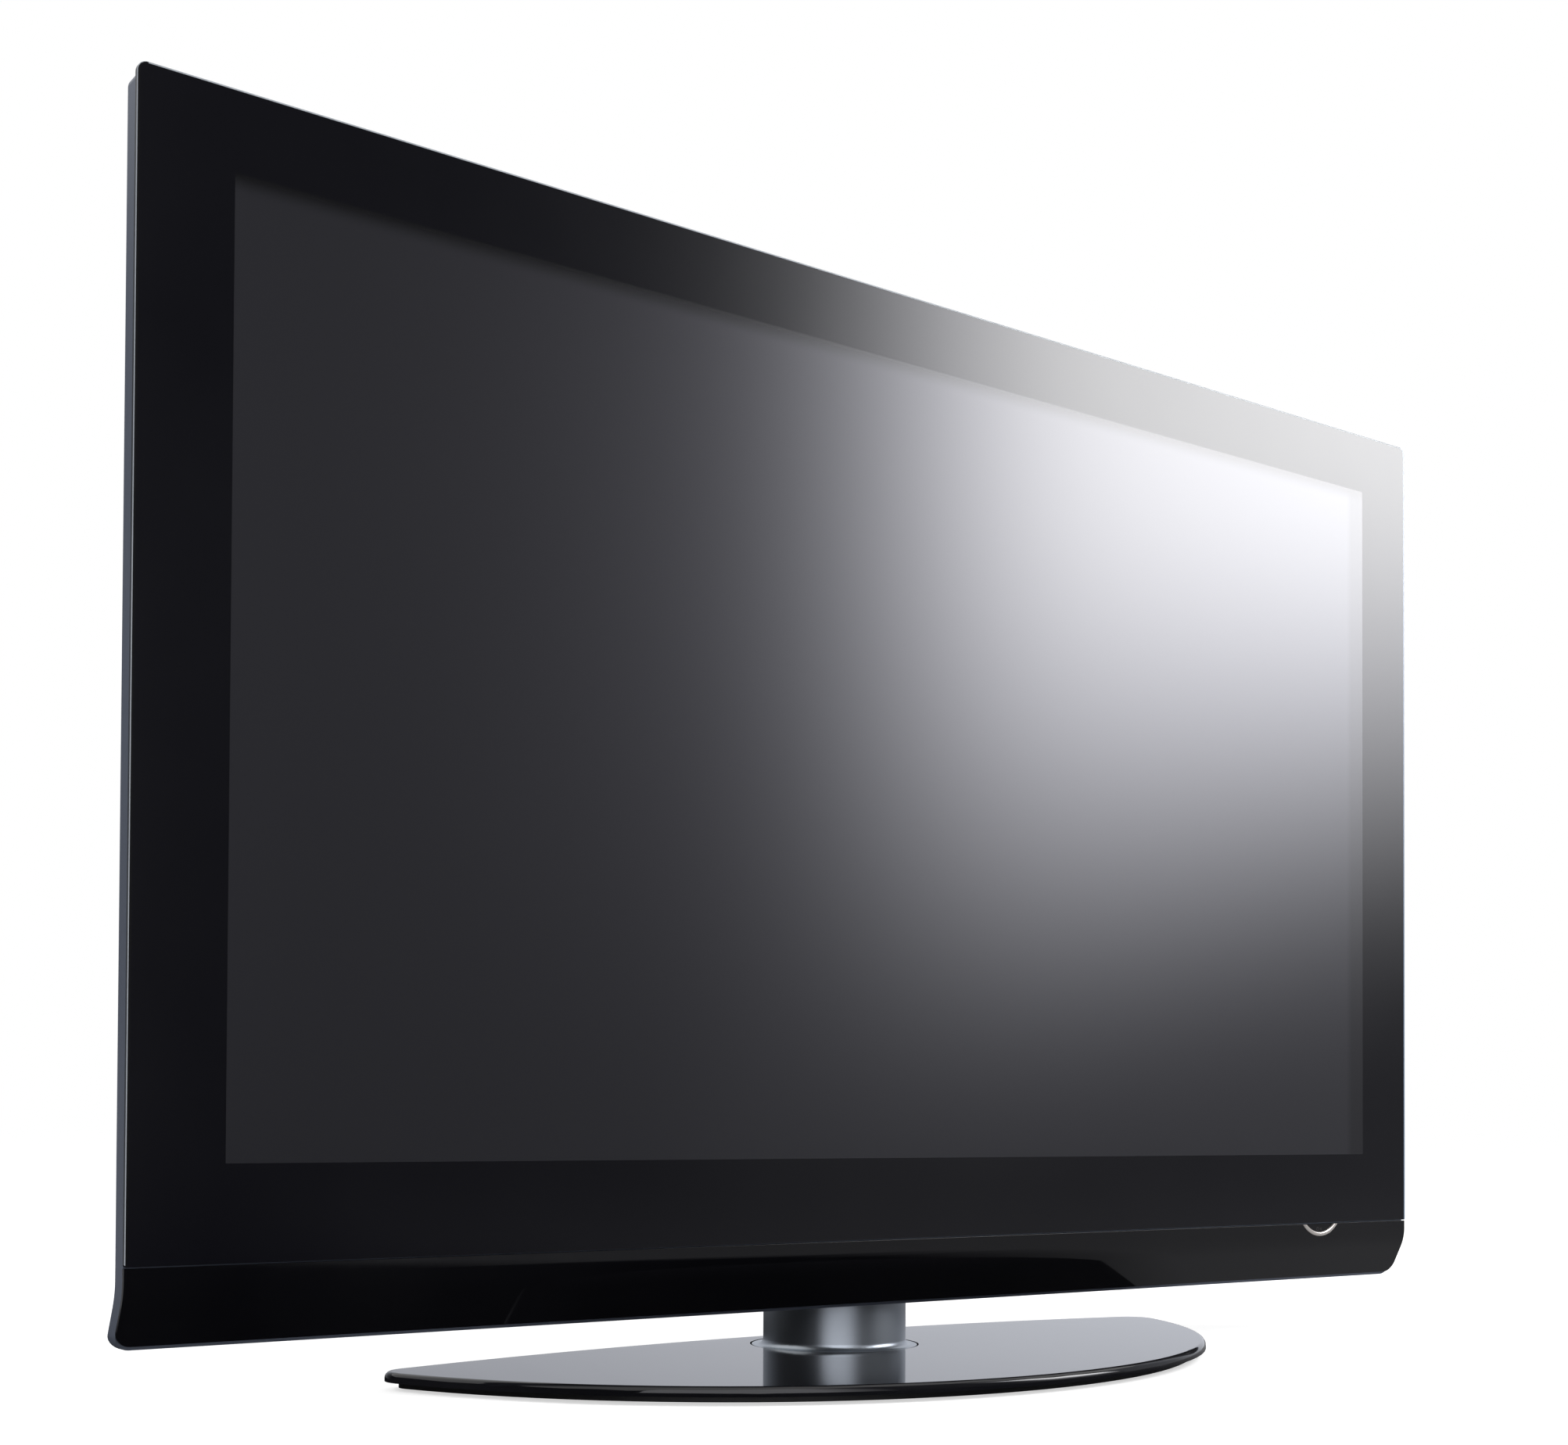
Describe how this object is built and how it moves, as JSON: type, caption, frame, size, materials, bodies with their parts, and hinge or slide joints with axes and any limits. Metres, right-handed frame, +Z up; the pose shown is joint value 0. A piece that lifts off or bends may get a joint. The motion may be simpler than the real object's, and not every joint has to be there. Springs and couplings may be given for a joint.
{
  "type": "flat screen television",
  "caption": "Wide flat screen television with an edge-to-edge front glass, a slanted chin with a crescent status eye, and a round neck that swivels on a curved base.",
  "frame": {"origin": "on the floor, under the middle of the base's depth and of the set's width", "axes": "+Z up, the screen faces -Y, +X to a viewer's right"},
  "size_m": [1.232, 0.342, 0.8408],
  "materials": {
    "gloss_black_base": "high gloss",
    "black_steel": "satin black paint",
    "foot_rubber": "matte",
    "zinc_steel": "zinc plated",
    "acetal": "smooth",
    "satin_neck": "satin",
    "rear_plastic": "fine grain",
    "front_glass": "polished",
    "mask_ink": "printed",
    "foam_tape": "foam",
    "frame_grey": "satin metallic",
    "chin_gloss": "high gloss",
    "crescent_chrome": "polished",
    "smoked_window": "smoked",
    "circuit_board": "solder mask",
    "power_laminate": "paper laminate",
    "conductive_fabric": "woven",
    "cell_glass": "coated",
    "heat_sheet_grey": "soft",
    "chassis_aluminium": "mill",
    "flex_amber": "film",
    "driver_grey": "satin",
    "cover_black": "powder coat",
    "socket_steel": "plated",
    "socket_brass": "plated",
    "key_grey": "satin"
  },
  "bodies": {
    "base": {"base_top": "gloss_black_base", "base_plate": "black_steel", "base_feet": "foot_rubber", "base_screws": "zinc_steel", "swivel_race": "zinc_steel", "pivot_pin": "zinc_steel", "glide_ring": "acetal", "disc_spring": "zinc_steel", "pivot_nut": "zinc_steel"},
    "set": {"turntable": "zinc_steel", "neck_sleeve": "satin_neck", "neck_column": "zinc_steel", "column_screws": "zinc_steel", "stand_bracket": "black_steel", "bracket_bolts": "zinc_steel", "neck_cover": "rear_plastic", "front_glass": "front_glass", "glass_mask": "mask_ink", "glass_tape": "foam_tape", "front_frame": "frame_grey", "chin_panel": "chin_gloss", "eye_crescent": "crescent_chrome", "eye_window": "smoked_window", "sensor_board": "circuit_board", "contact_gasket": "conductive_fabric", "cell_front_plate": "cell_glass", "cell_rear_plate": "cell_glass", "heat_sheet": "heat_sheet_grey", "chassis_plate": "chassis_aluminium", "chassis_screws": "zinc_steel", "drive_flexes": "flex_amber", "scan_board": "circuit_board", "sustain_board": "circuit_board", "address_boards": "circuit_board", "logic_board": "circuit_board", "power_board": "power_laminate", "main_board": "circuit_board", "support_rails": "zinc_steel", "wall_mount_posts": "zinc_steel", "crossbar": "zinc_steel", "speaker_left": "rear_plastic", "speaker_right": "rear_plastic", "speaker_drivers": "driver_grey", "rear_cover": "cover_black", "cover_screws": "zinc_steel", "jack_plate": "rear_plastic", "video_sockets": "socket_steel", "phono_sockets": "socket_brass", "aerial_socket": "socket_steel", "mains_inlet": "rear_plastic", "key_guide": "rear_plastic", "key_board": "circuit_board"},
    "power_key": {"key_power": "key_grey"},
    "input_key": {"key_input": "key_grey"},
    "menu_key": {"key_menu": "key_grey"},
    "volume_down_key": {"key_volume_down": "key_grey"},
    "volume_up_key": {"key_volume_up": "key_grey"},
    "channel_down_key": {"key_channel_down": "key_grey"},
    "channel_up_key": {"key_channel_up": "key_grey"}
  },
  "joints": [
    {"name": "swivel", "type": "hinge", "parent": "base", "child": "set", "pos_m": [0, 0.085, 0.012], "axis": [0, 0, 1], "range_deg": [-20, 20]},
    {"name": "power_press", "type": "slide", "parent": "set", "child": "power_key", "axis": [-1, 0, 0], "range_m": [0, 0.0008], "stiffness_N_per_m": 900},
    {"name": "input_press", "type": "slide", "parent": "set", "child": "input_key", "axis": [-1, 0, 0], "range_m": [0, 0.0008], "stiffness_N_per_m": 900},
    {"name": "menu_press", "type": "slide", "parent": "set", "child": "menu_key", "axis": [-1, 0, 0], "range_m": [0, 0.0008], "stiffness_N_per_m": 900},
    {"name": "volume_down_press", "type": "slide", "parent": "set", "child": "volume_down_key", "axis": [-1, 0, 0], "range_m": [0, 0.0008], "stiffness_N_per_m": 900},
    {"name": "volume_up_press", "type": "slide", "parent": "set", "child": "volume_up_key", "axis": [-1, 0, 0], "range_m": [0, 0.0008], "stiffness_N_per_m": 900},
    {"name": "channel_down_press", "type": "slide", "parent": "set", "child": "channel_down_key", "axis": [-1, 0, 0], "range_m": [0, 0.0008], "stiffness_N_per_m": 900},
    {"name": "channel_up_press", "type": "slide", "parent": "set", "child": "channel_up_key", "axis": [-1, 0, 0], "range_m": [0, 0.0008], "stiffness_N_per_m": 900}
  ]
}
